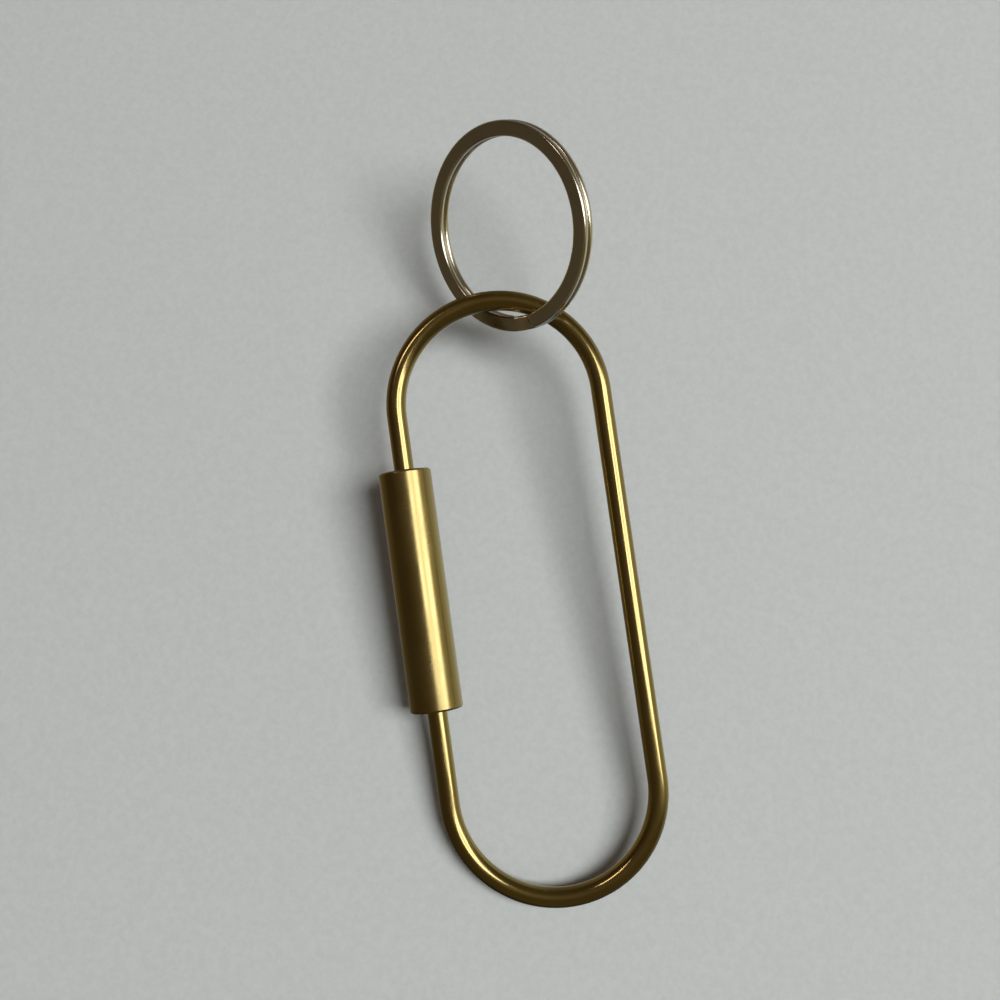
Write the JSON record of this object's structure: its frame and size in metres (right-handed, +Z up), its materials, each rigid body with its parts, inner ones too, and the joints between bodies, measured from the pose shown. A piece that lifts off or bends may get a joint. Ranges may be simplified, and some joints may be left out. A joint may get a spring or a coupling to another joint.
{
  "type": "carabiner keychain",
  "caption": "Long oval key loop of bent brass rod, closed by a screw sleeve on one side, hanging in a split ring of flat wire.",
  "frame": {"origin": "highest point of the split ring's eye, where a hook or pin that carries the keychain bears on it", "axes": "+Z up, the loop hanging plumb below; +X to the right as it is seen from the room; +Y away from the room, so the loop lies in the XZ direction and the sleeve is on its -X side"},
  "size_m": [0.0463, 0.0203, 0.1049],
  "materials": {
    "split_ring": "plated spring wire, polished, pale and slightly warm",
    "loop_rod": "polished, fine drawing lines along the rod",
    "screw_sleeve": "turned and polished, faint turning lines round it"
  },
  "bodies": {
    "ring": {"split_ring": "split_ring"},
    "loop": {"loop_rod": "loop_rod"},
    "sleeve": {"screw_sleeve": "screw_sleeve"}
  },
  "joints": [
    {"name": "loop_swing", "type": "hinge", "parent": "ring", "child": "loop", "pos_m": [0.00425, 0.00742, -0.02054], "axis": [1, 0, 0], "range_deg": [-120, 45]},
    {"name": "sleeve_screw", "type": "slide", "parent": "loop", "child": "sleeve", "axis": [-0.2706, 0, 0.9627], "range_m": [0, 0.01]}
  ]
}
